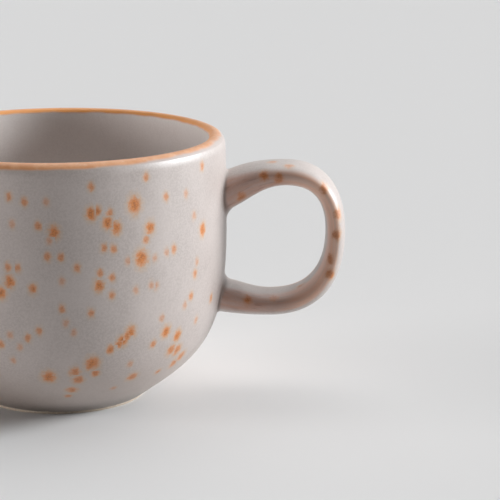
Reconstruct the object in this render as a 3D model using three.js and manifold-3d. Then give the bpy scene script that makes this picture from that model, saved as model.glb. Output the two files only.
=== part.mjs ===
// Espresso cup: a stoneware bowl with a loop handle luted to its wall, under a satin glaze.
// Millimetres, +Z up. The origin is the centre of the foot on the table, and the handle points along +X.
import * as THREE from 'three';
import { mergeVertices } from 'three/addons/utils/BufferGeometryUtils.js';
import Module from 'manifold-3d';

// Outside of the bowl, over the glaze
const CUP_HEIGHT = 51.5; // table to the top of the lip
const CUP_RADIUS = 32.5; // at the widest circle
const WIDEST_HEIGHT = 34;
const RIM_DRAW_IN = 0.2; // how much narrower the wall is where the lip starts to round over
const FOOT_RADIUS = 16.5; // lower edge of the glaze
const FOOT_EDGE = 0.6; // bare clay between the table and the glaze
const BELLY_ANGLE = 36; // degrees, slope of the belly where it leaves the foot
const BELLY_RISE = 14; // reach of that slope into the belly's curve
const BELLY_DROP = 22.8; // reach of the upright wall into the belly's curve

// Wall, lip, floor and foot
const WALL = 3.3; // over both glazes
const LIP_OUTSIDE = 2; // rounding of the lip on the outside
const FLOOR = 4.6; // middle of the floor, over both glazes
const FLOOR_RUN = 17; // reach of the level floor into the inside curve
const INSIDE_DROP = 21.5; // reach of the upright wall into the inside curve
const FOOT_WIDTH = 3.2; // of the ring that stands on the table
const FOOT_BEVEL = 0.3; // broken edges of that ring
const RECESS = 0.85; // depth of the hollow inside the ring

// Glaze
const GLAZE = 0.35; // thickness of every coat
const BAND_OUTSIDE = 0.9; // how far the rim band comes down outside
const BAND_INSIDE = 0.7; // and inside
const BASE_MARGIN = 0.4; // bare strip between the foot ring and the glaze under the base

// Handle, over the glaze: heights are measured from its upper root, reaches from the widest circle
const UPPER_ROOT_DROP = 11.3; // from the top of the lip down to the middle of the upper root
const UPPER_ROOT_ANGLE = 28; // degrees, rise of the upper arm where it leaves the wall
const CROWN_RISE = 3.75;
const CROWN_REACH = 11.5;
const TIP_DROP = 7.8;
const TIP_REACH = 21.15;
const BASE_DROP = 22;
const BASE_REACH = 8.5;
const LOWER_ROOT_DROP = 20.6;
const LOWER_ROOT_ANGLE = -10; // degrees, fall of the lower arm where it leaves the wall
const ARM_EASE = 0.38; // share of an arm's length that keeps the direction of its end
const UPPER_BEND_FULLNESS = 0.65; // 0.55 is an ellipse, more is squarer
const LOWER_BEND_FULLNESS = 0.65;
const HANDLE_WIDTH = 11.4;
const UPPER_ROOT_THICKNESS = 6.8;
const CROWN_THICKNESS = 4.5;
const TIP_THICKNESS = 3.8;
const BASE_THICKNESS = 4.5;
const LOWER_ROOT_THICKNESS = 6;
const OUTER_POWER = 2.3; // section's outer half: 2 is an oval, more is squarer
const INNER_POWER = 2.4; // section's half towards the fingers

// Slip joints between the handle and the wall
const SLIP = 0.7; // thickness between the handle's end and the wall
const FILLET = 0.6; // how far the slip spreads round the handle's end
const SEAT_GAP = 0.05; // clearance between the slip and the wall
const WINDOW_GAP = 0.1; // clearance round the handle's glaze where it meets the wall's glaze

// Fineness
const TURN_STEPS = 48;
const BELLY_STEPS = 9;
const FLANK_STEPS = 3;
const LIP_STEPS = 2;
const INSIDE_STEPS = 9;
const SECTION_STEPS = 16;
const ARM_STEPS = 5;
const BEND_STEPS = 7;
const FILLET_STEPS = 3;
const SAMPLE_STEPS = 60; // of the curve that the handle's ends are fitted to
const CAP_SCALES = [0, 0.4, 0.75, 1]; // rings over an end of the handle, from its middle outwards
const SEAT_ACCURACY = 1e-6; // of the handle's ends on the wall
const FREE_FROM = 0.3; // share of each arm, next to the wall, that has no ring of its own

const wasm = await Module();
wasm.setup();

const QUARTER = Math.PI / 2;
const radians = THREE.MathUtils.degToRad;
const range = (count) => Array.from({ length: count }, (_, i) => i);
const point2 = (radius, height) => new THREE.Vector2(radius, height);

// Skin of the cup: points in (radius, height), each with the direction that faces out of the clay

function stretch(curve, steps, from = 0, to = 1) {
  return range(steps + 1).map((i) => {
    const t = from + ((to - from) * i) / steps;
    const along = curve.getTangent(t).multiplyScalar(Math.sign(to - from));
    return { point: curve.getPoint(t), out: point2(along.y, -along.x) };
  });
}

function join(...stretches) {
  return stretches.reduce((all, next) => [...all, ...next.slice(1)]);
}

function atDepth(skin, depth) {
  return skin.map(({ point, out }) => point.clone().addScaledVector(out, -depth));
}

const lipInside = WALL - LIP_OUTSIDE;
const rimRadius = CUP_RADIUS - RIM_DRAW_IN;
const lipRadius = rimRadius - LIP_OUTSIDE;
const floorTop = RECESS - GLAZE + FLOOR;

const footStart = point2(FOOT_RADIUS, FOOT_EDGE);
const widest = point2(CUP_RADIUS, WIDEST_HEIGHT);
const bellySlope = point2(Math.cos(radians(BELLY_ANGLE)), Math.sin(radians(BELLY_ANGLE)));
const belly = new THREE.CubicBezierCurve(
  footStart,
  footStart.clone().addScaledVector(bellySlope, BELLY_RISE),
  point2(CUP_RADIUS, WIDEST_HEIGHT - BELLY_DROP),
  widest,
);

// An upright wall between the widest circle and the lip, drawn in a little towards the lip
function uprightWall(radius, topHeight) {
  return new THREE.QuadraticBezierCurve(
    point2(radius, WIDEST_HEIGHT),
    point2(radius, (WIDEST_HEIGHT + topHeight) / 2),
    point2(radius - RIM_DRAW_IN, topHeight),
  );
}

const flank = uprightWall(CUP_RADIUS, CUP_HEIGHT - LIP_OUTSIDE);
const lipOuter = new THREE.EllipseCurve(
  lipRadius, CUP_HEIGHT - LIP_OUTSIDE, LIP_OUTSIDE, LIP_OUTSIDE, 0, QUARTER,
);
const lipInner = new THREE.EllipseCurve(
  lipRadius, CUP_HEIGHT - lipInside, lipInside, lipInside, QUARTER, 2 * QUARTER,
);
const insideFlank = uprightWall(CUP_RADIUS - WALL, CUP_HEIGHT - lipInside);
const insideBowl = new THREE.CubicBezierCurve(
  point2(CUP_RADIUS - WALL, WIDEST_HEIGHT),
  point2(CUP_RADIUS - WALL, WIDEST_HEIGHT - INSIDE_DROP),
  point2(FLOOR_RUN, floorTop),
  point2(0, floorTop),
);

// Shares of the two lip curves where the rim band's edges lie
const bandStart = Math.asin((LIP_OUTSIDE - BAND_OUTSIDE) / LIP_OUTSIDE) / QUARTER;
const bandEnd = 1 - Math.asin((lipInside - BAND_INSIDE) / lipInside) / QUARTER;

const outsideSkin = join(
  stretch(belly, BELLY_STEPS),
  stretch(flank, FLANK_STEPS),
  stretch(lipOuter, LIP_STEPS, 0, bandStart),
);
const bandSkin = join(
  stretch(lipOuter, LIP_STEPS, bandStart, 1),
  stretch(lipInner, LIP_STEPS, 0, bandEnd),
);
const insideSkin = join(
  stretch(lipInner, LIP_STEPS, bandEnd, 1),
  stretch(insideFlank, FLANK_STEPS, 1, 0),
  stretch(insideBowl, INSIDE_STEPS),
);
// Edges between two coats are one and the same point
bandSkin[0] = outsideSkin.at(-1);
insideSkin[0] = bandSkin.at(-1);

// Turned solids

function turned(profile) {
  return new THREE.LatheGeometry(profile, TURN_STEPS).rotateX(QUARTER);
}

// A coat of even thickness on a skin that doesn't reach the axis
function coat(skin) {
  const face = atDepth(skin, 0);
  return turned([...face, ...atDepth(skin, GLAZE).reverse(), face[0]]);
}

function cupBody() {
  const clay = atDepth(join(outsideSkin, bandSkin, insideSkin), GLAZE);
  const outer = clay[0].x;
  const inner = outer - FOOT_WIDTH;
  const underside = [
    point2(0, RECESS),
    point2(inner - FOOT_BEVEL, RECESS),
    point2(inner, FOOT_BEVEL),
    point2(inner + FOOT_BEVEL, 0),
    point2(outer - FOOT_BEVEL, 0),
    point2(outer, FOOT_BEVEL),
  ];
  return turned([...underside, ...clay]);
}

function innerGlaze() {
  return turned([...atDepth(insideSkin, GLAZE).reverse(), ...atDepth(insideSkin, 0)]);
}

function baseGlaze() {
  const hollow = atDepth(outsideSkin, GLAZE)[0].x - FOOT_WIDTH - FOOT_BEVEL;
  const edge = hollow - BASE_MARGIN;
  return turned([
    point2(0, RECESS - GLAZE),
    point2(edge - GLAZE, RECESS - GLAZE),
    point2(edge, RECESS),
    point2(0, RECESS),
  ]);
}

// Handle: rings of points along its middle line, each in the plane of the loop's outward direction and Y

const clayWall = atDepth(
  join(stretch(belly, SAMPLE_STEPS), stretch(flank, SAMPLE_STEPS)),
  GLAZE,
);

// Outside radius of the bare wall at a height
function wallRadius(height) {
  const found = clayWall.findIndex((p) => p.y > height);
  const above = found < 0 ? clayWall.length - 1 : Math.max(found, 1);
  const [lower, upper] = [clayWall[above - 1], clayWall[above]];
  return lower.x + ((upper.x - lower.x) * (height - lower.y)) / (upper.y - lower.y);
}

// Rounded section of the handle as (across, outward) pairs
function section(width, thickness) {
  return range(SECTION_STEPS).map((i) => {
    const turn = (2 * Math.PI * i) / SECTION_STEPS;
    const power = Math.sin(turn) > 0 ? OUTER_POWER : INNER_POWER;
    const rounded = (value) => Math.sign(value) * Math.abs(value) ** (2 / power);
    return [(width / 2) * rounded(Math.cos(turn)), (thickness / 2) * rounded(Math.sin(turn))];
  });
}

// Where an end of the handle meets the bare wall. Along runs with the handle's middle line.
function root(height, angle, leaves) {
  const away = new THREE.Vector3(Math.cos(radians(angle)), 0, Math.sin(radians(angle)));
  const along = away.clone().multiplyScalar(leaves ? 1 : -1);
  const outward = new THREE.Vector3(-along.z, 0, along.x);
  return { seat: new THREE.Vector3(wallRadius(height), 0, height), away, outward };
}

const rootHeight = CUP_HEIGHT - UPPER_ROOT_DROP;
const upperRoot = root(rootHeight, UPPER_ROOT_ANGLE, true);
const lowerRoot = root(rootHeight - LOWER_ROOT_DROP, LOWER_ROOT_ANGLE, false);

// A place on a root's section, slid along the handle until it stands that far off the bare wall
function offWall({ seat, away, outward }, across, rise, standOff) {
  const start = seat.clone().addScaledVector(outward, rise).setY(across);
  let inside = -CUP_RADIUS / 2;
  let outside = CUP_RADIUS / 2;
  while (outside - inside > SEAT_ACCURACY) {
    const middle = (inside + outside) / 2;
    const place = start.clone().addScaledVector(away, middle);
    const clear = Math.hypot(place.x, place.y) > wallRadius(place.z) + standOff;
    if (clear) outside = middle;
    else inside = middle;
  }
  return start.addScaledVector(away, outside);
}

function wallRing(place, width, thickness, standOff, scale = 1) {
  return section(width, thickness).map(([across, rise]) =>
    offWall(place, across * scale, rise * scale, standOff),
  );
}

// Rings that close a handle's end from its middle outwards, following the wall
function endCap(place, width, thickness, standOff) {
  return CAP_SCALES.map((scale) => wallRing(place, width, thickness, standOff, scale));
}

// Middle line of the handle: upper arm, two bends and lower arm
const crown = new THREE.Vector3(CUP_RADIUS + CROWN_REACH, 0, rootHeight + CROWN_RISE);
const tip = new THREE.Vector3(CUP_RADIUS + TIP_REACH, 0, rootHeight - TIP_DROP);
const base = new THREE.Vector3(CUP_RADIUS + BASE_REACH, 0, rootHeight - BASE_DROP);
const outX = new THREE.Vector3(1, 0, 0);
const upZ = new THREE.Vector3(0, 0, 1);

function bezier(start, startWay, end, endWay) {
  return new THREE.CubicBezierCurve3(start, start.clone().add(startWay), end.clone().add(endWay), end);
}

function arm({ seat, away }, end) {
  const length = seat.distanceTo(end) * ARM_EASE;
  return bezier(seat, away.clone().multiplyScalar(length), end, outX.clone().multiplyScalar(-length));
}

function bend(level, fullness) {
  const reach = outX.clone().multiplyScalar((tip.x - level.x) * fullness);
  const rise = upZ.clone().multiplyScalar((level.z - tip.z) * fullness);
  return bezier(level, reach, tip, rise);
}

const easing = (t) => t * t * (3 - 2 * t);

// Stations of one piece of the middle line, with the thickness eased from its start to its end
function stations(curve, steps, from, to, startThickness, endThickness) {
  return range(steps + 1).map((i) => {
    const t = from + ((to - from) * i) / steps;
    const thickness = startThickness + (endThickness - startThickness) * easing(t);
    const along = curve.getTangent(t).multiplyScalar(Math.sign(to - from));
    return { middle: curve.getPoint(t), outward: new THREE.Vector3(-along.z, 0, along.x), thickness };
  });
}

const upperBend = bend(crown, UPPER_BEND_FULLNESS);
const lowerBend = bend(base, LOWER_BEND_FULLNESS);
const middleLine = join(
  stations(arm(upperRoot, crown), ARM_STEPS, FREE_FROM, 1, UPPER_ROOT_THICKNESS, CROWN_THICKNESS),
  stations(upperBend, BEND_STEPS, 0, 1, CROWN_THICKNESS, TIP_THICKNESS),
  stations(lowerBend, BEND_STEPS, 1, 0, BASE_THICKNESS, TIP_THICKNESS),
  stations(arm(lowerRoot, base), ARM_STEPS, 1, FREE_FROM, LOWER_ROOT_THICKNESS, BASE_THICKNESS),
);

// Rings between the two roots, that far under the glaze's face
function freeRings(depth) {
  return middleLine.map(({ middle, outward, thickness }) =>
    section(HANDLE_WIDTH - 2 * depth, thickness - 2 * depth).map(([across, rise]) =>
      middle.clone().addScaledVector(outward, rise).setY(across),
    ),
  );
}

// Rings over a slip joint, from the handle's end down the fillet to the wall
function filletRings(place, thickness, depth, wallGap) {
  const lift = GLAZE - depth;
  return range(FILLET_STEPS + 1).map((i) => {
    const turn = (QUARTER * i) / FILLET_STEPS;
    const spread = 2 * (FILLET * (1 - Math.cos(turn)) - depth);
    const standOff = lift + wallGap + (SLIP - wallGap) * (1 - Math.sin(turn));
    return wallRing(place, HANDLE_WIDTH + spread, thickness + spread, standOff);
  });
}

// A surface through rings, closed by its end rings or, as a loop, back onto its first ring.
// Each four-sided patch is split along its shorter diagonal, so that two pieces that share rings share faces.
function loft(rings, loop = false) {
  const count = rings[0].length;
  const points = rings.flat();
  const index = [];
  range(loop ? rings.length : rings.length - 1).forEach((i) => {
    const here = i * count;
    const next = ((i + 1) % rings.length) * count;
    range(count).forEach((k) => {
      const side = (k + 1) % count;
      const [a, b, c, d] = [here + k, here + side, next + side, next + k];
      const shorter = points[a].distanceTo(points[c]) < points[b].distanceTo(points[d]);
      index.push(...(shorter ? [a, b, c, a, c, d] : [a, b, d, b, c, d]));
    });
  });
  const position = points.flatMap((p) => p.toArray());
  const geometry = new THREE.BufferGeometry();
  geometry.setAttribute('position', new THREE.Float32BufferAttribute(position, 3));
  return geometry.setIndex(index);
}

const clayWidth = HANDLE_WIDTH - 2 * GLAZE;
const upperClay = UPPER_ROOT_THICKNESS - 2 * GLAZE;
const lowerClay = LOWER_ROOT_THICKNESS - 2 * GLAZE;

function handle() {
  return loft([
    ...endCap(upperRoot, clayWidth, upperClay, SLIP),
    ...freeRings(GLAZE),
    ...endCap(lowerRoot, clayWidth, lowerClay, SLIP).reverse(),
  ]);
}

function slipJoint(place, thickness) {
  const clay = thickness - 2 * GLAZE;
  const spread = 2 * FILLET;
  const rings = [
    ...endCap(place, clayWidth, clay, SLIP),
    ...filletRings(place, thickness, GLAZE, SEAT_GAP).slice(1),
    ...endCap(place, clayWidth + spread, clay + spread, SEAT_GAP).reverse().slice(1),
  ];
  return loft(place === upperRoot ? rings.reverse() : rings);
}

function handleGlaze() {
  const side = (depth, wallGap) => [
    ...filletRings(upperRoot, UPPER_ROOT_THICKNESS, depth, wallGap).reverse(),
    ...freeRings(depth),
    ...filletRings(lowerRoot, LOWER_ROOT_THICKNESS, depth, wallGap),
  ];
  return loft([...side(0, 0), ...side(GLAZE, SEAT_GAP).reverse()], true);
}

// Joins and cuts

function solid(geometry) {
  const bare = geometry.clone();
  bare.deleteAttribute('normal');
  bare.deleteAttribute('uv');
  const { attributes, index } = mergeVertices(bare);
  return new wasm.Manifold(
    new wasm.Mesh({
      numProp: 3,
      vertProperties: attributes.position.array,
      triVerts: new Uint32Array(index.array),
    }),
  );
}

function geometryOf(manifold) {
  const { vertProperties, triVerts } = manifold.getMesh();
  const geometry = new THREE.BufferGeometry();
  geometry.setAttribute('position', new THREE.BufferAttribute(vertProperties, 3));
  return geometry.setIndex(new THREE.BufferAttribute(triVerts, 1));
}

// A straight bar through the wall with the outline of the handle's glaze where it meets the wall
function windowBar(place, thickness) {
  const spread = 2 * (FILLET + WINDOW_GAP);
  const outline = section(HANDLE_WIDTH + spread, thickness + spread);
  const ring = (way, scale) =>
    outline.map(([across, rise]) =>
      place.seat
        .clone()
        .addScaledVector(place.outward, rise * scale)
        .addScaledVector(place.away, way)
        .setY(across * scale),
    );
  const ends = place === upperRoot ? [-2 * WALL, 2 * WALL] : [2 * WALL, -2 * WALL];
  return loft([ring(ends[0], 0), ring(ends[0], 1), ring(ends[1], 1), ring(ends[1], 0)]);
}

function outerGlaze() {
  const cut = solid(coat(outsideSkin))
    .subtract(solid(windowBar(upperRoot, UPPER_ROOT_THICKNESS)))
    .subtract(solid(windowBar(lowerRoot, LOWER_ROOT_THICKNESS)));
  return geometryOf(cut);
}

// Finishes
const material = (color, roughness) => new THREE.MeshStandardMaterial({ color, roughness, metalness: 0 });
const clayFinish = material(0xcdb9a3, 0.85);
const slipFinish = material(0xc4ae97, 0.9);
const greyGlaze = material(0xb5aca8, 0.32);
const linerGlaze = material(0xa89f9b, 0.3);
const brownGlaze = material(0xa58a7c, 0.35);
const rustGlaze = material(0xc08a5c, 0.4);

const cup = new THREE.Group();

function addPiece(name, geometry, finish) {
  const mesh = new THREE.Mesh(geometry, finish);
  mesh.name = name;
  cup.add(mesh);
}

addPiece('cup_body', cupBody(), clayFinish);
addPiece('handle', handle(), clayFinish);
addPiece('upper_slip_joint', slipJoint(upperRoot, UPPER_ROOT_THICKNESS), slipFinish);
addPiece('lower_slip_joint', slipJoint(lowerRoot, LOWER_ROOT_THICKNESS), slipFinish);
addPiece('outer_glaze', outerGlaze(), greyGlaze);
addPiece('handle_glaze', handleGlaze(), brownGlaze);
addPiece('inner_glaze', innerGlaze(), linerGlaze);
addPiece('rim_band', coat(bandSkin), rustGlaze);
addPiece('base_glaze', baseGlaze(), linerGlaze);

export default cup;
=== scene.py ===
import math

import bmesh
import bpy
import numpy as np
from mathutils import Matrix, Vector
from mathutils.bvhtree import BVHTree


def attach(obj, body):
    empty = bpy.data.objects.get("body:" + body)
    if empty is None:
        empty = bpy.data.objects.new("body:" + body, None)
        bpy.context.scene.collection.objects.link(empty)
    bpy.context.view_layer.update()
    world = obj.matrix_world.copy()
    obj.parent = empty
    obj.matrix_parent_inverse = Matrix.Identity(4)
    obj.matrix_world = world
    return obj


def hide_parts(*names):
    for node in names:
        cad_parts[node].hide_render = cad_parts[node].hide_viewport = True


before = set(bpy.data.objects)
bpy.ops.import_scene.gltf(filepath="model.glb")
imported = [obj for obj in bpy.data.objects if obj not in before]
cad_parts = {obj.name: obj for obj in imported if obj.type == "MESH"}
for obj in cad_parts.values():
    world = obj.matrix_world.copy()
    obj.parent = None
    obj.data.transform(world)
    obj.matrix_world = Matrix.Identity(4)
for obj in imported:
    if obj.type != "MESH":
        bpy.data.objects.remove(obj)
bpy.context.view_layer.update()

# Sizes are in millimetres and angles in degrees. A mesh turns into metres when it is made.
METRES = 0.001

# Outside of the bowl, over the glaze
CUP_HEIGHT = 51.5
CUP_RADIUS = 32.5
WIDEST_HEIGHT = 34
RIM_DRAW_IN = 0.2
FOOT_RADIUS = 16.5
FOOT_EDGE = 0.6
BELLY_ANGLE = 36
BELLY_RISE = 14
BELLY_DROP = 22.8

# Wall, lip, floor and foot
WALL = 3.3
LIP_OUTSIDE = 2
LIP_INSIDE = WALL - LIP_OUTSIDE
FLOOR_TOP = 5.1
FLOOR_RUN = 17
INSIDE_DROP = 21.5
FOOT_WIDTH = 3.2
FOOT_BEVEL = 0.3
RECESS = 0.85
BASE_MARGIN = 0.4

# Glaze
GLAZE = 0.35
BAND_OUTSIDE = 0.9
BAND_INSIDE = 0.7

# Handle
UPPER_ROOT = 40.2
UPPER_ROOT_ANGLE = 28
LOWER_ROOT = 19.6
LOWER_ROOT_ANGLE = -10
CROWN = (44, 43.95)
TIP = (53.65, 32.4)
BASE = (41, 18.2)
ARM_EASE = 0.38
UPPER_BEND_FULLNESS = 0.65
LOWER_BEND_FULLNESS = 0.65
HANDLE_WIDTH = 11.4
UPPER_ROOT_THICKNESS = 6.8
CROWN_THICKNESS = 4.5
TIP_THICKNESS = 3.8
BASE_THICKNESS = 4.5
LOWER_ROOT_THICKNESS = 6
OUTER_POWER = 2.3
INNER_POWER = 2.4
SLIP = 0.7
FILLET = 0.6
WEB = 1

# Fineness, and the heights of the wall between which its grid makes room for each root
COLUMNS = 192
BLOCK_COLUMNS = 8
RING = 8 * BLOCK_COLUMNS
BLOCK_ROWS = 2 * BLOCK_COLUMNS
UPPER_BLOCK = (32.4, 46.2)
LOWER_BLOCK = (14.2, 26.4)
ROW_HEIGHT = 0.8
DENSE = 240
ARM_STEPS = 20
BEND_STEPS = 26
FILLET_STEPS = 6
PATCH_STEPS = 4
FREE_FROM = 0.3
SHARP_ANGLE = 38
CLAY_STEP = 1.6
LIP_STEP = 0.3
LINER_STEP = 0.9
ON_AXIS = 1e-6
SPECK_BATCHES = 24

# Search for the places where the lines along the handle meet the wall
HALVINGS = 50
SEARCH_START = -0.7
SEARCH_REACH = 4
SHORT_STEP = 0.01

# Where the glaze starts to run thin on the handle, as shares of its half width, along it from the top
THIN_ALONG = (0, 0.3, 0.5, 0.62, 0.75, 1)
THIN_OUTSIDE = (0.5, 0.86, 0.96, 0.94, 0.92, 0.8)
THIN_INSIDE = (0.45, 0.5, 0.45, 0.2, 0.2, 0.55)
THIN_RISE = 0.35

# Streaks and lines along the handle, and the stretch of X over which its brown turns paler towards the far
# end as painted light
STREAK_PULL = 0.1
STREAK_SIZE = 0.55
STREAK_SPAN = (0.3, 0.65)
STREAK_LEAST = 0.66
LINE_SIZE = 0.4
LINE_SPAN = (0.56, 0.7)
LINE_SHARE = 0.6
PAINTED_LIGHT_SPAN = (41, 50)

# Camera
PHOTO_SIDE = 500
SENSOR = 36
LENS = 151.15
CAMERA_PLACE = (37.04, -399.14, 122.33)
CAMERA_PITCH = 13.24
CAMERA_CLIP = (10, 20000)

# Specks in the photograph, read in its pixels
LARGE_SPECKS = [(134.7, 205), (141.6, 258), (92.5, 363.5), (49, 377)]
BIG_SPECKS = [
    (91, 214), (99, 285.5), (9.6, 281.5), (1, 293), (54, 232.5), (107.5, 223), (177, 336),
    (166, 331.5), (202.5, 229.5), (131, 332), (122.5, 341), (116, 228), (150, 228),
]
STREAK_SPECKS = [
    (127, 336.5), (119, 344), (110.5, 349.5), (95.5, 373.5), (33, 289), (97, 211),
]
LOW_SPECKS = [
    (75, 372), (72, 390), (132, 377), (171, 350), (177, 350), (181, 356), (173.5, 363), (78, 380),
]
SMALL_SPECKS = [
    (91, 187), (146, 177), (202, 166), (110, 213), (166, 197), (146, 240), (9, 197), (24, 202),
    (38, 226), (104, 248), (113.5, 249), (174, 249), (47.5, 257), (61, 257.5), (77, 268), (8, 267),
    (17.5, 268), (100, 273), (112, 277.5), (112, 295), (195, 274), (191, 296), (211, 298), (62, 309),
    (91, 313), (39.5, 331), (28, 338), (1, 344), (153, 344), (158, 371.5), (68, 396),
]
FAINT_SPECKS = [
    (186, 194), (194, 216), (46, 202), (12, 224), (49, 241), (155, 258), (167, 252), (62, 281),
    (151.5, 285), (66, 323), (20, 347), (10, 335), (130, 364), (113.5, 388), (196, 320), (128, 261),
    (136, 290), (156, 286), (197, 262), (185, 305), (162, 318), (74, 333), (13, 360),
]
HANDLE_SPECKS = [
    (264, 175), (279, 179), (324.5, 188), (338, 214), (336, 235), (330, 259), (330, 274),
    (241.5, 197), (248, 299), (274, 297.5),
]
FAINT_HANDLE_SPECKS = [(272, 162), (289, 166), (300, 286)]

# Each kind's places, radius and strength
PHOTO_SPECKS = [
    (LARGE_SPECKS, 1.25, 1),
    (BIG_SPECKS, 0.95, 1),
    (STREAK_SPECKS, 0.75, 0.9),
    (LOW_SPECKS, 1, 0.8),
    (SMALL_SPECKS, 0.66, 0.7),
    (FAINT_SPECKS, 0.64, 0.4),
    (HANDLE_SPECKS, 0.95, 1),
    (FAINT_HANDLE_SPECKS, 0.85, 0.6),
]

# Specks on the other sides: the chance up to each kind, its radius and its strength
SPECK_KINDS = [(0.05, 1.15, 1), (0.25, 0.9, 1), (0.72, 0.66, 0.7), (1, 0.64, 0.4)]
AREA_PER_SPECK = 30
SIZE_SPREAD = (0.75, 1.3)
LEAST_SPACING = 2.4
RIM_CLEAR = 2.5
SEEN_WITHIN = 0.4
SPECK_SEED = 11

# Look of a speck, over the distance from its middle in radii
SPECK_TALL = 1.3
RAGGED_SIZE = 0.9
RAGGED_ROUGHNESS = 0.65
RAGGED_SHIFT = 1.4
HALO_SPAN = (2, 0.9)
HALO_SHARE = 0.5
SPOT_SPAN = (1.35, 0.3)
SPOT_DENT = 0.25
CORE_SPAN = (0.95, 0.1)
CORE_GRAIN_SIZE = 0.3
CORE_GRAIN_SPAN = (0.42, 0.62)
CORE_GRAIN_SHARES = (0.2, 0.8)

# Colours as they show on a screen
GLAZE_GREY = (185, 173, 168)
GLAZE_DARK = (174, 162, 157)
GLAZE_PALE = (194, 183, 178)
# Warmer tone low on the belly, partly darkened as painted shade, and painted shade just above the foot
FOOT_WARM_SHADE = (174, 158, 147)
FOOT_PAINTED_SHADE = (118, 107, 100)
THIN_BROWN = (186, 141, 122)
THIN_DARK = (142, 100, 84)
# Paler brown of the handle's far end, painted light
PAINTED_LIGHT_BROWN = (228, 180, 154)
CREASE_BROWN = (108, 86, 76)
LINER_GREY = (216, 208, 204)
LINER_DARK = (212, 203, 199)
LINER_PALE = (220, 212, 208)
RUST = (220, 163, 121)
RUST_DARK = (206, 141, 93)
RUST_PALE = (222, 184, 156)
RUST_DEEP = (240, 160, 84)
SPECK_HALO = (198, 160, 120)
SPECK_ORANGE = (210, 122, 30)
SPECK_BROWN = (186, 118, 70)
SPECK_CORE = (152, 80, 16)
CLAY_PALE = (214, 200, 184)
CLAY_DARK = (190, 172, 152)
SLIP_PALE = (206, 190, 172)
SLIP_DARK = (182, 162, 142)
FLOOR_GREY = (227, 226, 226)
BACKGROUND = (218, 218, 218)
ROOM = (96, 96, 96)
WORLD_TINT = (255, 255, 255)

# Clouds and grain of a glaze: sizes of the noise, and its spans from one tone to the other
CLOUD_SIZE = 9
CLOUD_SPAN = (0.35, 0.7)
GRAIN_SIZE = 0.4
GRAIN_ROUGHNESS = 0.75
GRAIN_SPAN = (0.4, 0.6)
GRAIN_SHARE = 0.6

# Heights over which the outer glaze turns warmer and darker, then darker still towards the foot; the
# darkening is painted shade near the floor
WARM_SPAN = (16, 4)
WARM_SHARE = 0.45
WARM_WANDER_SIZE = 6
FOOT_SHADE_SPAN = (4.5, 1.2)
FOOT_SHADE_SHARE = 0.7
FOOT_SHADE_WANDER_SIZE = 1.5

# Tones of the rust
BROKEN_SIZE = 3.2
BROKEN_SPAN = (0.32, 0.7)
PALE_RUST_SIZE = 1.4
PALE_RUST_SPAN = (0.56, 0.78)
PALE_RUST_SHARE = 0.55
DEEP_RUST_SHARE = 0.85

# Edge of the rust: depths below the lip's top over which it breaks through the glaze, outside and inside.
# Outside, it is drawn up over a stretch of X towards the handle.
OUTSIDE_BREAK = (1.3, 0.75)
INSIDE_BREAK = (1.05, 0.45)
EDGE_SIZE = 5
EDGE_SPAN = (0.25, 0.75)
EDGE_WANDER = 0.12
RUST_SPAN = (-4, 34)
RUST_LIFT = 0.75

# Radii from the lip's inner side to its outer side, from the circle of its top
LIP_SPAN = (-0.7, 0.3)

# Gloss: the size of its patches, and the roughness of the glossiest and the dullest
GLOSS_SPAN = (0.3, 0.7)
GLAZE_GLOSS = (3, 0.46, 0.58)
LINER_GLOSS = (3, 0.5, 0.62)
RIM_GLOSS = (1.5, 0.34, 0.44)
CLAY_GLOSS = (1, 0.78, 0.92)
GLAZE_SPECULAR = 0.75
GLAZE_COAT = 0.75
GLAZE_COAT_ROUGHNESS = 0.45
FLOOR_ROUGHNESS = 0.9

# Waves of a surface: their size and their height
GLAZE_WAVES = (7, 0.12)
LINER_WAVES = (8, 0.12)
RIM_WAVES = (2.5, 0.06)
CLAY_WAVES = (0.6, 0.05)

# Grain of the bare clay
CLAY_GRAIN_SIZE = 0.5
CLAY_GRAIN_SPAN = (0.3, 0.7)
CLAY_ROUGHNESS = 0.7

# Studio: the floor's side in metres, then each light's name, direction, spread, strength and colour
FLOOR_SIZE = 8
SKIES = [
    ("right", (1, 0.14, 0.35), 23, 4.3, (0.94, 0.98, 1)),
    ("top", (0.34, 0.5, 1), 75, 1.42, (1, 0.98, 0.965)),
    ("left", (-1, -0.15, 0.03), 28, 2.6, (1, 0.98, 0.97)),
]

# Light from all round, and where the backdrop fades into the room in reflections, from front to back
WORLD_STRENGTH = 0.03
BACKDROP_FADE = (-0.5, 0.4)


def smooth(t):
    t = np.clip(t, 0, 1)
    return t * t * (3 - 2 * t)


def bezier(points, t):
    points = np.array(points, float)
    degree = len(points) - 1
    t = np.asarray(t, float)[..., None]
    return sum(
        math.comb(degree, i) * (1 - t) ** (degree - i) * t**i * points[i] for i in range(degree + 1)
    )


def bezier_way(points, t):
    return (len(points) - 1) * bezier(np.diff(np.array(points, float), axis=0), t)


# Skin of the cup in (radius, height), from the foot up the outside, over the lip and down inside

def arc(centre, radius, start, end):
    turn = np.radians(np.linspace(start, end, DENSE))
    return np.array(centre) + radius * np.stack([np.cos(turn), np.sin(turn)], 1)


def upright(radius, top):
    line = [(radius, WIDEST_HEIGHT), (radius, (WIDEST_HEIGHT + top) / 2), (radius - RIM_DRAW_IN, top)]
    return bezier(line, np.linspace(0, 1, DENSE))


def lip_turn(radius, below):
    return math.degrees(math.asin((radius - below) / radius))


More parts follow.
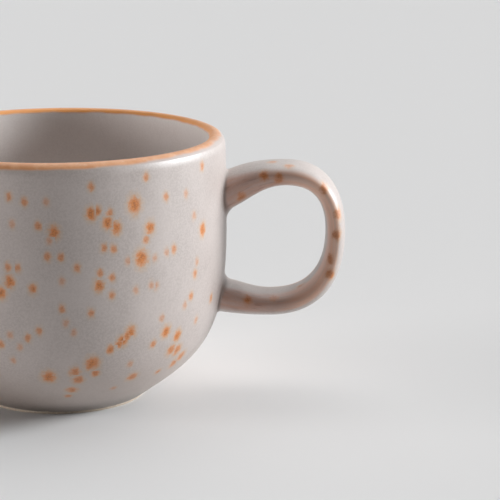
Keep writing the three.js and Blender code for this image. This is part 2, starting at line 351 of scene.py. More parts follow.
slope = math.radians(BELLY_ANGLE)
belly = [
    (FOOT_RADIUS, FOOT_EDGE),
    (FOOT_RADIUS + BELLY_RISE * math.cos(slope), FOOT_EDGE + BELLY_RISE * math.sin(slope)),
    (CUP_RADIUS, WIDEST_HEIGHT - BELLY_DROP),
    (CUP_RADIUS, WIDEST_HEIGHT),
]
bowl = [
    (CUP_RADIUS - WALL, WIDEST_HEIGHT),
    (CUP_RADIUS - WALL, WIDEST_HEIGHT - INSIDE_DROP),
    (FLOOR_RUN, FLOOR_TOP),
    (0, FLOOR_TOP),
]
lip_radius = CUP_RADIUS - RIM_DRAW_IN - LIP_OUTSIDE
band_start = lip_turn(LIP_OUTSIDE, BAND_OUTSIDE)
band_end = 180 - lip_turn(LIP_INSIDE, BAND_INSIDE)
outer_centre = (lip_radius, CUP_HEIGHT - LIP_OUTSIDE)
inner_centre = (lip_radius, CUP_HEIGHT - LIP_INSIDE)


class Skin:
    """A smooth line in (radius, height), read by its length from the start."""

    def __init__(self, *pieces):
        points = np.concatenate([pieces[0], *(p[1:] for p in pieces[1:])])
        self.points = points
        self.run = np.concatenate([[0], np.cumsum(np.hypot(*np.diff(points, axis=0).T))])
        way = np.gradient(points, self.run, axis=0)
        way /= np.hypot(*way.T)[:, None]
        self.out = np.stack([way[:, 1], -way[:, 0]], 1)
        self.length = self.run[-1]

    def read(self, table, run):
        return np.stack([np.interp(run, self.run, table[:, k]) for k in range(2)], -1)

    def at(self, run, depth=0):
        return self.read(self.points, run) - depth * self.read(self.out, run)

    def run_at(self, height):
        return np.interp(height, self.points[:, 1], self.run)

    def even(self, step, depth=0):
        return self.at(np.linspace(0, self.length, round(self.length / step) + 1), depth)


outside = Skin(
    bezier(belly, np.linspace(0, 1, DENSE)),
    upright(CUP_RADIUS, CUP_HEIGHT - LIP_OUTSIDE),
    arc(outer_centre, LIP_OUTSIDE, 0, band_start),
)
band = Skin(
    arc(outer_centre, LIP_OUTSIDE, band_start, 90),
    arc(inner_centre, LIP_INSIDE, 90, band_end),
)
inside = Skin(
    arc(inner_centre, LIP_INSIDE, band_end, 180),
    upright(CUP_RADIUS - WALL, CUP_HEIGHT - LIP_INSIDE)[::-1],
    bezier(bowl, np.linspace(0, 1, DENSE)),
)


def wall_radius(height):
    return np.interp(height, outside.points[:, 1], outside.points[:, 0])


# Handle: rings of points, each in the plane of the loop's outward direction and Y

def section():
    turn = 2 * np.pi * np.arange(RING) / RING
    corner = np.stack([np.cos(turn), np.sin(turn)], 1)
    power = np.where(corner[:, 1] > 0, OUTER_POWER, INNER_POWER)
    return np.sign(corner) * np.abs(corner) ** (2 / power[:, None])


SECTION = section()


def seat(height, angle):
    away = np.array([math.cos(math.radians(angle)), math.sin(math.radians(angle))])
    return np.array([float(wall_radius(height)) - GLAZE, height]), away


def arm(height, angle, end):
    start, away = seat(height, angle)
    end = np.array(end, float)
    ease = ARM_EASE * np.hypot(*(end - start))
    return [start, start + ease * away, end - (ease, 0), end]


def bend(level, fullness):
    reach = (TIP[0] - level[0]) * fullness
    rise = (level[1] - TIP[1]) * fullness
    return [level, (level[0] + reach, level[1]), (TIP[0], TIP[1] + rise), TIP]


def rings_on(line, t, start_thickness, end_thickness, sense):
    """Section points at each t of a line, as an array of stations by ring points by (x, y, z)."""
    t = np.asarray(t, float)
    middle = bezier(line, t)
    along = bezier_way(line, t) * sense
    along /= np.linalg.norm(along, axis=-1, keepdims=True)
    outward = np.stack([-along[..., 1], along[..., 0]], -1)
    thickness = start_thickness + (end_thickness - start_thickness) * smooth(t)
    half = thickness[..., None] / 2
    flat = middle + outward * half * SECTION[:, 1, None]
    across = np.broadcast_to(HANDLE_WIDTH / 2 * SECTION[:, 0], flat.shape[:-1])
    return np.stack([flat[..., 0], across, flat[..., 1]], -1)


def clearance(points):
    return np.hypot(points[..., 0], points[..., 1]) - wall_radius(points[..., 2])


def halved(low, high, clear):
    """For each point of a ring, the least value from low to high at which it is clear."""
    low = np.full(RING, float(low))
    high = np.full(RING, float(high))
    for _ in range(HALVINGS):
        middle = (low + high) / 2
        outer = clear(middle)
        high = np.where(outer, middle, high)
        low = np.where(outer, low, middle)
    return high


def root_rings(height, angle, end, start_thickness, end_thickness, sense):
    """Rings of one arm from the wall outwards: the fillet, then the arm to its far end."""
    line = arm(height, angle, end)

    def ring_at(t):
        stations = rings_on(line, t[:, None], start_thickness, end_thickness, sense)
        return stations[np.arange(RING), np.arange(RING)]

    web = WEB * np.clip(-SECTION[:, 1], 0, 1) ** 2
    start = halved(SEARCH_START, FREE_FROM, lambda t: clearance(ring_at(t)) > SLIP + web)
    foot = ring_at(start)
    inward = ring_at(start - SHORT_STEP) - foot
    inward /= np.linalg.norm(inward, axis=1, keepdims=True)
    side = np.roll(foot, -1, 0) - np.roll(foot, 1, 0)
    spread = np.cross(inward, side) * sense
    spread /= np.linalg.norm(spread, axis=1, keepdims=True)
    rings = []
    for turn in np.linspace(90, 0, FILLET_STEPS + 1):
        width = (FILLET + web) * (1 - math.cos(math.radians(turn)))
        stand = (SLIP + web) * (1 - math.sin(math.radians(turn)))
        edge = foot + spread * width[:, None]
        way = halved(
            -SEARCH_REACH,
            SEARCH_REACH,
            lambda t, place=edge, off=stand: clearance(place - inward * t[:, None]) > off,
        )
        rings.append(edge - inward * way[:, None])
    for share in np.linspace(0, 1, ARM_STEPS // 2)[1:]:
        rings.append(ring_at(start + (FREE_FROM - start) * share))
    free = np.linspace(FREE_FROM, 1, ARM_STEPS)[1:]
    rings.extend(rings_on(line, free[:, None], start_thickness, end_thickness, sense))
    return rings


def handle_rings():
    upper = root_rings(
        UPPER_ROOT, UPPER_ROOT_ANGLE, CROWN, UPPER_ROOT_THICKNESS, CROWN_THICKNESS, 1
    )
    lower = root_rings(
        LOWER_ROOT, LOWER_ROOT_ANGLE, BASE, LOWER_ROOT_THICKNESS, BASE_THICKNESS, -1
    )
    t = np.linspace(0, 1, BEND_STEPS + 1)[:, None]
    upper_bend = rings_on(bend(CROWN, UPPER_BEND_FULLNESS), t, CROWN_THICKNESS, TIP_THICKNESS, 1)
    lower_bend = rings_on(bend(BASE, LOWER_BEND_FULLNESS), t, BASE_THICKNESS, TIP_THICKNESS, -1)
    return [*upper, *upper_bend[1:], *lower_bend[::-1][1:], *lower[::-1][1:]]


# Outer coat: the glazed wall with the handle growing out of it, as one surface

def wall_points(turn, run):
    radius, height = outside.at(run).T
    return np.stack([radius * np.cos(turn), radius * np.sin(turn), height], 1)


def border_steps():
    """Places round a square block of the wall's grid, in step with the handle's ring of points."""
    half = BLOCK_COLUMNS
    return [
        *((half, v) for v in range(half)),
        *((u, half) for u in range(half, -half, -1)),
        *((-half, v) for v in range(half, -half, -1)),
        *((u, -half) for u in range(-half, half)),
        *((half, v) for v in range(-half, 0)),
    ]


def thin_shares(along):
    """How thin the glaze is round the handle's ring of points, at a share of the way along it."""
    across = np.abs(SECTION[:, 0])
    outer_start = np.interp(along, THIN_ALONG, THIN_OUTSIDE)
    inner_start = np.interp(along, THIN_ALONG, THIN_INSIDE)
    outer = smooth((across - outer_start) / min(THIN_RISE, 1 - outer_start))
    inner = smooth((across - inner_start) / THIN_RISE)
    return np.where(SECTION[:, 1] > 0, outer, inner)


class Coat:
    """Points and faces of the coat's outer face. Each point knows how thin the glaze is, how deep in
    the crease at a root it lies, and its lie along the handle."""

    def __init__(self):
        self.points = np.empty((0, 3))
        self.thin = np.empty(0)
        self.crease = np.empty(0)
        self.lie = np.empty((0, 3))
        self.faces = []
        self.make_wall()
        self.make_handle()

    def add(self, points, thin=0, crease=0, lie=(0, 0, 0)):
        first = len(self.points)
        count = len(points)
        self.points = np.concatenate([self.points, points])
        self.thin = np.concatenate([self.thin, np.broadcast_to(thin, count)])
        self.crease = np.concatenate([self.crease, np.broadcast_to(crease, count)])
        self.lie = np.concatenate([self.lie, np.broadcast_to(lie, (count, 3))])
        return first + np.arange(count)

    def make_wall(self):
        lower = outside.run_at(np.array(LOWER_BLOCK))
        upper = outside.run_at(np.array(UPPER_BLOCK))

        def rows(start, end):
            return np.linspace(start, end, round((end - start) / ROW_HEIGHT) + 1)

        lowest = rows(0, lower[0])
        between = rows(lower[1], upper[0])
        blocks = [np.linspace(*ends, BLOCK_ROWS + 1) for ends in (lower, upper)]
        highest = rows(upper[1], outside.length)
        self.runs = np.concatenate(
            [lowest, blocks[0][1:], between[1:], blocks[1][1:], highest[1:]]
        )
        self.lower_row = len(lowest) - 1
        self.upper_row = self.lower_row + BLOCK_ROWS + len(between) - 1
        column = np.arange(COLUMNS)
        self.signed = (column + COLUMNS // 2) % COLUMNS - COLUMNS // 2
        self.grid = np.full((len(self.runs), COLUMNS), -1)
        for row, run in enumerate(self.runs):
            kept = column
            if any(first < row < first + BLOCK_ROWS for first in (self.lower_row, self.upper_row)):
                kept = column[np.abs(self.signed) >= BLOCK_COLUMNS]
            turn = 2 * np.pi * kept / COLUMNS
            self.grid[row, kept] = self.add(wall_points(turn, np.full(len(kept), run)))
        for row in range(len(self.runs) - 1):
            for k in column:
                if not self.in_block(row, self.signed[k]):
                    after = (k + 1) % COLUMNS
                    low, high = self.grid[row], self.grid[row + 1]
                    self.faces.append((low[k], low[after], high[after], high[k]))

    def in_block(self, row, signed):
        across = -BLOCK_COLUMNS <= signed < BLOCK_COLUMNS
        return across and any(
            first <= row < first + BLOCK_ROWS for first in (self.lower_row, self.upper_row)
        )

    def patch(self, first_row, upwards, ring):
        """Rings on the wall from the border of a block to the foot of a fillet, the border first."""
        steps = np.array(border_steps())
        row = first_row + BLOCK_ROWS // 2 + upwards * steps[:, 1]
        border = self.grid[row, steps[:, 0] % COLUMNS]
        turn = 2 * np.pi * steps[:, 0] / COLUMNS
        run = self.runs[row]
        ring_turn = np.arctan2(ring[:, 1], ring[:, 0])
        ring_run = outside.run_at(ring[:, 2])
        rings = [border]
        for share in np.linspace(0, 1, PATCH_STEPS + 1)[1:-1]:
            place = wall_points(
                turn + share * (ring_turn - turn),
                run + share * (ring_run - run),
            )
            rings.append(self.add(place))
        return rings

    def make_handle(self):
        rings = handle_rings()
        across = np.abs(SECTION[:, 0])
        middles = np.array([ring.mean(axis=0) for ring in rings])
        steps = np.linalg.norm(np.diff(middles, axis=0), axis=1)
        along = np.concatenate([[0], np.cumsum(steps)])
        upper = self.patch(self.upper_row, 1, rings[0])
        lower = self.patch(self.lower_row, -1, rings[-1])
        count = len(rings)
        made = []
        for i, ring in enumerate(rings):
            share = min(i, count - 1 - i) / FILLET_STEPS
            thin = thin_shares(along[i] / along[-1]) * float(smooth(share))
            crease = across * float(smooth(1 - abs(2 * share - 1)))
            lie = np.column_stack([
                np.full(RING, along[i] * STREAK_PULL),
                HANDLE_WIDTH / 2 * SECTION[:, 0],
                TIP_THICKNESS / 2 * SECTION[:, 1],
            ])
            made.append(self.add(ring, thin, crease, lie))
        chain = [*upper, *made, *lower[::-1]]
        for here, there in zip(chain, chain[1:]):
            for i in range(RING):
                k = (i + 1) % RING
                self.faces.append((here[i], here[k], there[k], there[i]))

    def normals(self):
        corners = self.points[np.array(self.faces)]
        across = np.cross(corners[:, 2] - corners[:, 0], corners[:, 3] - corners[:, 1])
        total = np.zeros_like(self.points)
        for k in range(4):
            np.add.at(total, np.array(self.faces)[:, k], across)
        return total / np.linalg.norm(total, axis=1, keepdims=True)

    def closed(self):
        """Points and faces of the coat with its own thickness."""
        count = len(self.points)
        points = np.concatenate([self.points, self.points - GLAZE * self.normals()])
        faces = [*self.faces, *(tuple(count + v for v in reversed(f)) for f in self.faces)]
        for row, sense in ((self.grid[0], -1), (self.grid[-1], 1)):
            for here, there in zip(row, np.roll(row, -1)):
                start, end = (here, there) if sense > 0 else (there, here)
                faces.append((start, end, count + end, count + start))
        return points, faces


# Turned pieces

def turned(profile):
    """Points and faces of a solid of revolution. Its profile closes on itself or ends on the axis."""
    points = []
    rings = []
    turn = 2 * np.pi * np.arange(COLUMNS) / COLUMNS
    for radius, height in profile:
        count = COLUMNS if radius > ON_AXIS else 1
        rings.append([len(points) + k % count for k in range(COLUMNS)])
        points.extend(
            (radius * math.cos(a), radius * math.sin(a), height) for a in turn[:count]
        )
    faces = []
    for here, there in zip(rings, [*rings[1:], rings[0]]):
        for k in range(COLUMNS):
            after = (k + 1) % COLUMNS
            face = tuple(dict.fromkeys((here[k], here[after], there[after], there[k])))
            if len(face) > 2:
                faces.append(face)
    return np.array(points), faces


def shell(skin, step):
    return turned([*skin.even(step), *skin.even(step, GLAZE)[::-1]])


def clay_profile():
    clay = [
        *outside.even(CLAY_STEP, GLAZE),
        *band.even(LIP_STEP, GLAZE)[1:],
        *inside.even(CLAY_STEP, GLAZE)[1:],
    ]
    outer = clay[0][0]
    inner = outer - FOOT_WIDTH
    under = [
        (0, RECESS),
        (inner - FOOT_BEVEL, RECESS),
        (inner, FOOT_BEVEL),
        (inner + FOOT_BEVEL, 0),
        (outer - FOOT_BEVEL, 0),
        (outer, FOOT_BEVEL),
    ]
    return [*under, *clay]


def base_profile():
    edge = float(outside.at(0, GLAZE)[0]) - FOOT_WIDTH - FOOT_BEVEL - BASE_MARGIN
    return [(0, RECESS - GLAZE), (edge - GLAZE, RECESS - GLAZE), (edge, RECESS), (0, RECESS)]


def make(name, shape, material, slot, *nodes):
    points, faces = shape
    mesh = bpy.data.meshes.new(name)
    mesh.from_pydata((points * METRES).tolist(), [], [tuple(map(int, f)) for f in faces])
    work = bmesh.new()
    work.from_mesh(mesh)
    bmesh.ops.recalc_face_normals(work, faces=work.faces)
    work.to_mesh(mesh)
    work.free()
    mesh.shade_smooth()
    mesh.set_sharp_from_angle(angle=math.radians(SHARP_ANGLE))
    mesh.materials.append(material)
    piece = bpy.data.objects.new(name, mesh)
    bpy.context.scene.collection.objects.link(piece)
    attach(piece, "root")
    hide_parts(*nodes)
    return piece


# Camera

pitch = math.radians(CAMERA_PITCH)
forward = np.array([0, math.cos(pitch), -math.sin(pitch)])
upward = np.array([0, math.sin(pitch), math.cos(pitch)])
rightward = np.array([1.0, 0, 0])
eye = np.array(CAMERA_PLACE)
focal = PHOTO_SIDE * LENS / SENSOR


def ray(pixel):
    """Direction from the camera through a pixel of the photograph."""
    x, y = ((p - PHOTO_SIDE / 2) / focal for p in pixel)
    way = forward + x * rightward - y * upward
    return way / np.linalg.norm(way)


def pixel_of(point):
    offset = point - eye
    depth = offset @ forward
    x = PHOTO_SIDE / 2 + focal * (offset @ rightward) / depth
    y = PHOTO_SIDE / 2 - focal * (offset @ upward) / depth
    return x, y


def make_camera():
    data = bpy.data.cameras.new("camera")
    data.sensor_width = SENSOR
    data.lens = LENS
    data.clip_start, data.clip_end = (METRES * d for d in CAMERA_CLIP)
    camera = bpy.data.objects.new("camera", data)
    camera.location = Vector(eye * METRES)
    camera.rotation_euler = (math.pi / 2 - pitch, 0, 0)
    bpy.context.scene.collection.objects.link(camera)
    bpy.context.scene.camera = camera


# Specks: where the photograph shows them, and scattered in the same density on the other sides

def seen_specks(tree):
    """Centres, radii and strengths of the specks that the photograph shows."""
    specks = []
    for pixels, radius, strength in PHOTO_SPECKS:
        for pixel in pixels:
            place, _, _, _ = tree.ray_cast(Vector(eye), Vector(ray(pixel)))
            if place is not None:
                specks.append((*place, radius, strength))
    return specks


def in_photo(tree, point):
    x, y = pixel_of(point)
    if not (0 <= x <= PHOTO_SIDE and 0 <= y <= PHOTO_SIDE):
        return False
    way = point - eye
    place, _, _, distance = tree.ray_cast(Vector(eye), Vector(way / np.linalg.norm(way)))
    return place is not None and abs(distance - np.linalg.norm(way)) < SEEN_WITHIN


def scattered_specks(tree, coat, taken):
    corners = coat.points[np.array(coat.faces)]
    area = np.linalg.norm(
        np.cross(corners[:, 2] - corners[:, 0], corners[:, 3] - corners[:, 1]), axis=1
    ) / 2
    centres = corners.mean(axis=1)
    count = int(area.sum() / AREA_PER_SPECK)
    chance = np.random.default_rng(SPECK_SEED)
    specks = []
    for face in chance.choice(len(area), size=count, p=area / area.sum()):
        shares = chance.dirichlet(np.ones(4))
        point = shares @ corners[face]
        pick = chance.random()
        stretch = chance.uniform(*SIZE_SPREAD)
        _, radius, strength = next(k for k in SPECK_KINDS if pick <= k[0])
        held = np.array([*taken, *specks])
        crowded = np.linalg.norm(held[:, :3] - point, axis=1).min() < LEAST_SPACING
        top = centres[face][2] > CUP_HEIGHT - RIM_CLEAR
        if not (crowded or top or in_photo(tree, point)):
            specks.append((*point, radius * stretch, strength))
    return specks


def read_all(items, name, width, kind=float):
    """One property of all faces, corners or points of a mesh, a row for each."""
    values = np.empty(len(items) * width, kind)
    items.foreach_get(name, values)
    return values.reshape(-1, width)


def mark_specks(piece, specks):
    """Gives each face's corners their way from its nearest speck, in radii, and that speck's strength."""
    mesh = piece.data
    specks = np.array(specks)
    centres = read_all(mesh.polygons, "center", 3) / METRES
    nearest = np.empty(len(centres), int)
    for part in np.array_split(np.arange(len(centres)), SPECK_BATCHES):
        far = np.linalg.norm(centres[part, None] - specks[None, :, :3], axis=2) / specks[:, 3]
        nearest[part] = far.argmin(axis=1)
    owner = np.repeat(nearest, read_all(mesh.polygons, "loop_total", 1, int)[:, 0])
    corner = read_all(mesh.loops, "vertex_index", 1, int)[:, 0]
    places = read_all(mesh.vertices, "co", 3)[corner] / METRES
    way = (places - specks[owner, :3]) / specks[owner, 3, None] / (1, 1, SPECK_TALL)
    ways = mesh.attributes.new("speck_way", "FLOAT_VECTOR", "CORNER")
    ways.data.foreach_set("vector", way.astype(np.float32).ravel())
    strengths = mesh.attributes.new("speck_strength", "FLOAT", "CORNER")
    strengths.data.foreach_set("value", specks[owner, 4].astype(np.float32))


def mark_coat(piece, coat):
    """Gives the points of both faces of the coat how thin, how creased and how far along they are."""
    for name in ("thin", "crease"):
        shares = piece.data.attributes.new(name, "FLOAT", "POINT")
        shares.data.foreach_set("value", np.tile(getattr(coat, name), 2).astype(np.float32))
    lies = piece.data.attributes.new("lie", "FLOAT_VECTOR", "POINT")
    lies.data.foreach_set("vector", np.tile(coat.lie * METRES, (2, 1)).astype(np.float32).ravel())


# Materials

def linear(red, green, blue):
    """A colour written as it shows on a screen, 0 to 255, as the shader needs it."""
    def one(value):
        value /= 255
        return value / 12.92 if value <= 0.04045 else ((value + 0.055) / 1.055) ** 2.4

    return (one(red), one(green), one(blue), 1)


class Paint:
    """A material of nodes round one Principled shader. Its lengths are in millimetres."""

    def __init__(self, name):
        self.material = bpy.data.materials.new(name)
        self.material.use_nodes = True
        self.tree = self.material.node_tree
        self.shader = self.tree.nodes["Principled BSDF"]
        self.place = self.add("TexCoord").outputs["Object"]

    def add(self, kind, inputs=None, **settings):
        node = self.tree.nodes.new("ShaderNode" + kind)
        for key, value in settings.items():
            setattr(node, key, value)
        for key, value in (inputs or {}).items():
            self.put(node.inputs[key], value)
        return node

    def put(self, socket, value):
        if isinstance(value, bpy.types.NodeSocket):
            self.tree.links.new(value, socket)
        else:
            socket.default_value = value

    def set(self, name, value):
        self.put(self.shader.inputs[name], value)

    def noise(self, size, detail=3, rough=0.55, vector=None, output="Fac"):
        inputs = {
            "Vector": vector or self.place,
            "Scale": 1 / (size * METRES),
            "Detail": detail,
            "Roughness": rough,
        }
        return self.add("TexNoise", inputs).outputs[output]

    def ramp(self, value, start, end, low=0.0, high=1.0):
        """A smooth step from low at start to high at end."""
        inputs = {
            "Value": value, "From Min": start, "From Max": end, "To Min": low, "To Max": high
        }
        return self.add("MapRange", inputs, interpolation_type="SMOOTHSTEP").outputs["Result"]

    def maths(self, operation, first, second):
        return self.add("Math", {0: first, 1: second}, operation=operation).outputs["Value"]

    def vectors(self, operation, first, second):
        return self.add("VectorMath", {0: first, 1: second}, operation=operation).outputs["Vector"]

    def length(self, vector):
        return self.add("VectorMath", {0: vector}, operation="LENGTH").outputs["Value"]

    def mix(self, share, first, second):
        inputs = {"Fac": share, "Color1": first, "Color2": second}
        return self.add("MixRGB", inputs).outputs["Color"]

    def axis(self, name):
        """The place along X, Y or Z."""
        split = self.add("SeparateXYZ", {"Vector": self.place}).outputs[name]
        return self.maths("DIVIDE", split, METRES)

    def attribute(self, name, output="Fac"):
        return self.add("Attribute", attribute_name=name).outputs[output]

    def gloss(self, size, glossiest, dullest, detail=3):
        patches = self.noise(size, detail)
        self.set("Roughness", self.ramp(patches, *GLOSS_SPAN, glossiest, dullest))

    def bump(self, value, height):
        inputs = {"Height": value, "Distance": height * METRES, "Strength": 1.0}
        self.set("Normal", self.add("Bump", inputs).outputs["Normal"])


def mottled(paint, colour, darker, lighter):
    """Clouds of two other tones over a glaze's colour."""
    clouds = paint.ramp(paint.noise(CLOUD_SIZE, detail=4), *CLOUD_SPAN)
    grain = paint.ramp(paint.noise(GRAIN_SIZE, rough=GRAIN_ROUGHNESS), *GRAIN_SPAN, 0, GRAIN_SHARE)
    first = paint.mix(clouds, linear(*darker), linear(*colour))
    return paint.mix(grain, first, linear(*lighter))


def outer_side(paint):
    """0 on the inner side of the lip and 1 on its outer side."""
    over = paint.add("CombineXYZ", {"X": paint.axis("X"), "Y": paint.axis("Y")}).outputs["Vector"]
    return paint.ramp(paint.length(over), *(lip_radius + r for r in LIP_SPAN))


def rust_share(paint, depths, drawn_up):
    """How far the rust of the lip has broken through the glaze."""
    wander = paint.ramp(paint.noise(EDGE_SIZE, detail=2), *EDGE_SPAN, -EDGE_WANDER, EDGE_WANDER)
    height = paint.maths("ADD", paint.axis("Z"), wander)
    if drawn_up:
        lift = paint.ramp(paint.axis("X"), *RUST_SPAN, 0, RUST_LIFT)
        height = paint.maths("SUBTRACT", height, paint.maths("MULTIPLY", lift, outer_side(paint)))
    return paint.ramp(height, *(CUP_HEIGHT - depth for depth in depths))


def outside_rust(paint):
    return rust_share(paint, OUTSIDE_BREAK, True)


def inside_rust(paint):
    return rust_share(paint, INSIDE_BREAK, False)


def foot_tones(paint, colour):
    """The outer glaze's colour, warmer and darker low down and darker still just above the foot, the
    darkening being painted shade near the floor.
    """
    tones = (
        (FOOT_WARM_SHADE, paint.noise(WARM_WANDER_SIZE, detail=2), WARM_SPAN, WARM_SHARE),
        (FOOT_PAINTED_SHADE, paint.noise(FOOT_SHADE_WANDER_SIZE), FOOT_SHADE_SPAN, FOOT_SHADE_SHARE),
    )
    for tone, wander, span, share in tones:
        height = paint.maths("ADD", paint.axis("Z"), wander)
        colour = paint.mix(paint.ramp(height, *span, 0, share), colour, linear(*tone))
    return colour


def thin_brown(paint):
    """How thin the glaze runs on the handle, in streaks, and the brown that shows through, painted paler
    towards the far end as painted light.
    """
    lie = paint.attribute("lie", "Vector")
    streaks = paint.ramp(paint.noise(STREAK_SIZE, vector=lie), *STREAK_SPAN, 1, STREAK_LEAST)
    thin = paint.maths("MULTIPLY", paint.attribute("thin"), streaks)
    lines = paint.ramp(paint.noise(LINE_SIZE, detail=2, vector=lie), *LINE_SPAN, 0, LINE_SHARE)
    brown = paint.mix(lines, linear(*THIN_BROWN), linear(*THIN_DARK))
    # The brown turns paler towards the far end: painted light
    painted_light = paint.ramp(paint.axis("X"), *PAINTED_LIGHT_SPAN)
    return thin, paint.mix(painted_light, brown, linear(*PAINTED_LIGHT_BROWN))


def speck_shares(paint):
    """How far the halo, the spot and the core of the nearest speck show, each with a ragged edge."""
    ragged = paint.noise(RAGGED_SIZE, rough=RAGGED_ROUGHNESS, output="Color")
    shift = paint.vectors("SUBTRACT", ragged, (0.5, 0.5, 0.5))
    shift = paint.vectors("MULTIPLY", shift, (RAGGED_SHIFT, RAGGED_SHIFT, RAGGED_SHIFT))
    far = paint.length(paint.vectors("ADD", paint.attribute("speck_way", "Vector"), shift))
    strength = paint.attribute("speck_strength")
    halo = paint.maths("MULTIPLY", paint.ramp(far, *HALO_SPAN, 0, HALO_SHARE), strength)
    spot = paint.maths("MULTIPLY", paint.ramp(far, *SPOT_SPAN), strength)
    core = paint.maths("MULTIPLY", paint.ramp(far, *CORE_SPAN), strength)
    grain = paint.ramp(paint.noise(CORE_GRAIN_SIZE, detail=2), *CORE_GRAIN_SPAN, *CORE_GRAIN_SHARES)
    return halo, spot, paint.maths("MULTIPLY", core, grain)


def speckled_glaze():
    paint = Paint("speckled_glaze")
    paint.set("Specular IOR Level", GLAZE_SPECULAR)
    paint.set("Coat Weight", GLAZE_COAT)
    paint.set("Coat Roughness", GLAZE_COAT_ROUGHNESS)
    colour = foot_tones(paint, mottled(paint, GLAZE_GREY, GLAZE_DARK, GLAZE_PALE))
    thin, brown = thin_brown(paint)
    colour = paint.mix(thin, colour, brown)
    # Darker brown in the creases round the handle's roots
    colour = paint.mix(paint.attribute("crease"), colour, linear(*CREASE_BROWN))
    colour = paint.mix(outside_rust(paint), colour, linear(*RUST))
    halo, spot, core = speck_shares(paint)
    on_grey = paint.maths("SUBTRACT", 1, thin)
    colour = paint.mix(paint.maths("MULTIPLY", halo, on_grey), colour, linear(*SPECK_HALO))
    colour = paint.mix(spot, colour, paint.mix(thin, linear(*SPECK_ORANGE), linear(*SPECK_BROWN)))
    paint.set("Base Color", paint.mix(core, colour, linear(*SPECK_CORE)))
    paint.gloss(*GLAZE_GLOSS)
    size, height = GLAZE_WAVES
    dents = paint.maths("MULTIPLY", spot, -SPOT_DENT)
    paint.bump(paint.maths("ADD", paint.noise(size, detail=2), dents), height)
    return paint.material


def liner_glaze():
    paint = Paint("liner_glaze")
    colour = mottled(paint, LINER_GREY, LINER_DARK, LINER_PALE)
    paint.set("Base Color", paint.mix(inside_rust(paint), colour, linear(*RUST)))
    paint.gloss(*LINER_GLOSS)
    size, height = LINER_WAVES
    paint.bump(paint.noise(size, detail=2), height)
    return paint.material


def rim_glaze():
    paint = Paint("rim_glaze")
    broken = paint.ramp(paint.noise(BROKEN_SIZE, detail=4), *BROKEN_SPAN)
    colour = paint.mix(broken, linear(*RUST_DARK), linear(*RUST))
    pale = paint.ramp(paint.noise(PALE_RUST_SIZE), *PALE_RUST_SPAN, 0, PALE_RUST_SHARE)
    colour = paint.mix(pale, colour, linear(*RUST_PALE))
    colour = paint.mix(outside_rust(paint), linear(*GLAZE_GREY), colour)
    outer = outer_side(paint)
    deep = paint.mix(DEEP_RUST_SHARE, colour, linear(*RUST_DEEP))
    colour = paint.mix(outer, deep, colour)
    rusty = paint.maths("MAXIMUM", inside_rust(paint), outer)
    paint.set("Base Color", paint.mix(rusty, linear(*LINER_GREY), colour))
    paint.gloss(*RIM_GLOSS)
    size, height = RIM_WAVES
    paint.bump(paint.noise(size), height)
    return paint.material


def bare_clay(name, colour, darker):
    paint = Paint(name)
    grain = paint.noise(CLAY_GRAIN_SIZE, detail=4, rough=CLAY_ROUGHNESS)
    colours = linear(*darker), linear(*colour)
    paint.set("Base Color", paint.mix(paint.ramp(grain, *CLAY_GRAIN_SPAN), *colours))
    paint.gloss(*CLAY_GLOSS, detail=2)
    size, height = CLAY_WAVES
    paint.bump(paint.noise(size, detail=4, rough=CLAY_ROUGHNESS), height)
    return paint.material


# Studio

def make_floor():
    bpy.ops.mesh.primitive_plane_add(size=FLOOR_SIZE)
    floor = bpy.context.object
    floor.name = "floor"
    paint = Paint("floor")
    paint.set("Roughness", FLOOR_ROUGHNESS)
    paint.set("Base Color", linear(*FLOOR_GREY))
    paint.set("Specular IOR Level", 0)
    floor.data.materials.append(paint.material)


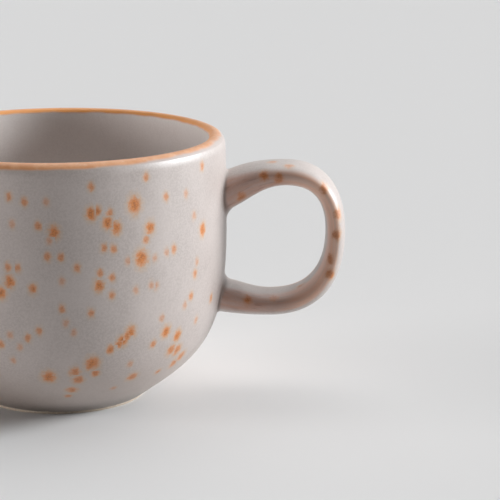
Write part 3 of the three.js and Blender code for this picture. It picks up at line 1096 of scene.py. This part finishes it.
def make_world():
    """A little light all round. The pale backdrop shows directly, and in reflections of what is behind."""
    world = bpy.data.worlds.new("studio")
    bpy.context.scene.world = world
    world.use_nodes = True
    nodes = world.node_tree.nodes
    link = world.node_tree.links.new
    light = nodes["Background"]
    light.inputs["Color"].default_value = linear(*WORLD_TINT)
    light.inputs["Strength"].default_value = WORLD_STRENGTH
    seen, mirrored, room = (nodes.new("ShaderNodeBackground") for _ in range(3))
    for shown in (seen, mirrored):
        shown.inputs["Color"].default_value = linear(*BACKGROUND)
    room.inputs["Color"].default_value = linear(*ROOM)
    split = nodes.new("ShaderNodeSeparateXYZ")
    link(nodes.new("ShaderNodeTexCoord").outputs["Generated"], split.inputs["Vector"])
    reach = nodes.new("ShaderNodeMapRange")
    reach.inputs["From Min"].default_value = BACKDROP_FADE[0]
    reach.inputs["From Max"].default_value = BACKDROP_FADE[1]
    link(split.outputs["Y"], reach.inputs["Value"])
    around = nodes.new("ShaderNodeMixShader")
    link(reach.outputs["Result"], around.inputs["Fac"])
    link(room.outputs["Background"], around.inputs[1])
    link(mirrored.outputs["Background"], around.inputs[2])
    rays = nodes.new("ShaderNodeLightPath").outputs
    surface = light.outputs["Background"]
    shows = (
        ("Is Glossy Ray", around.outputs["Shader"]),
        ("Is Transmission Ray", seen.outputs["Background"]),
        ("Is Camera Ray", seen.outputs["Background"]),
    )
    for kind, shown in shows:
        choose = nodes.new("ShaderNodeMixShader")
        link(rays[kind], choose.inputs["Fac"])
        link(surface, choose.inputs[1])
        link(shown, choose.inputs[2])
        surface = choose.outputs["Shader"]
    link(surface, nodes["World Output"].inputs["Surface"])


def make_sky(name, direction, spread, strength, colour):
    """Wide soft light from one side."""
    data = bpy.data.lights.new(name, "SUN")
    data.energy = strength
    data.color = colour
    data.angle = math.radians(spread)
    sky = bpy.data.objects.new(name, data)
    sky.rotation_euler = (-Vector(direction)).to_track_quat("-Z", "Y").to_euler()
    bpy.context.scene.collection.objects.link(sky)


bpy.context.scene.view_settings.view_transform = "Standard"
make_camera()
make_world()
make_floor()
for sky in SKIES:
    make_sky(*sky)

coat = Coat()
tree = BVHTree.FromPolygons(coat.points.tolist(), [tuple(map(int, f)) for f in coat.faces])
specks = seen_specks(tree)
specks += scattered_specks(tree, coat, specks)
liner = liner_glaze()
clay = bare_clay("clay", CLAY_PALE, CLAY_DARK)
slip = bare_clay("slip", SLIP_PALE, SLIP_DARK)

glaze = make("glaze_coat", coat.closed(), speckled_glaze(), "grey_glaze", "outer_glaze", "handle_glaze")
mark_specks(glaze, specks)
mark_coat(glaze, coat)
make("lip_band", shell(band, LIP_STEP), rim_glaze(), "rust_glaze", "rim_band")
make("liner", shell(inside, LINER_STEP), liner, "liner_glaze", "inner_glaze")
make("underside", turned(base_profile()), liner, "liner_glaze", "base_glaze")
make("clay_bowl", turned(clay_profile()), clay, "clay", "cup_body")
for node, material in (("handle", clay), ("upper_slip_joint", slip), ("lower_slip_joint", slip)):
    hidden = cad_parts[node]
    hidden.data.materials.clear()
    hidden.data.materials.append(material)
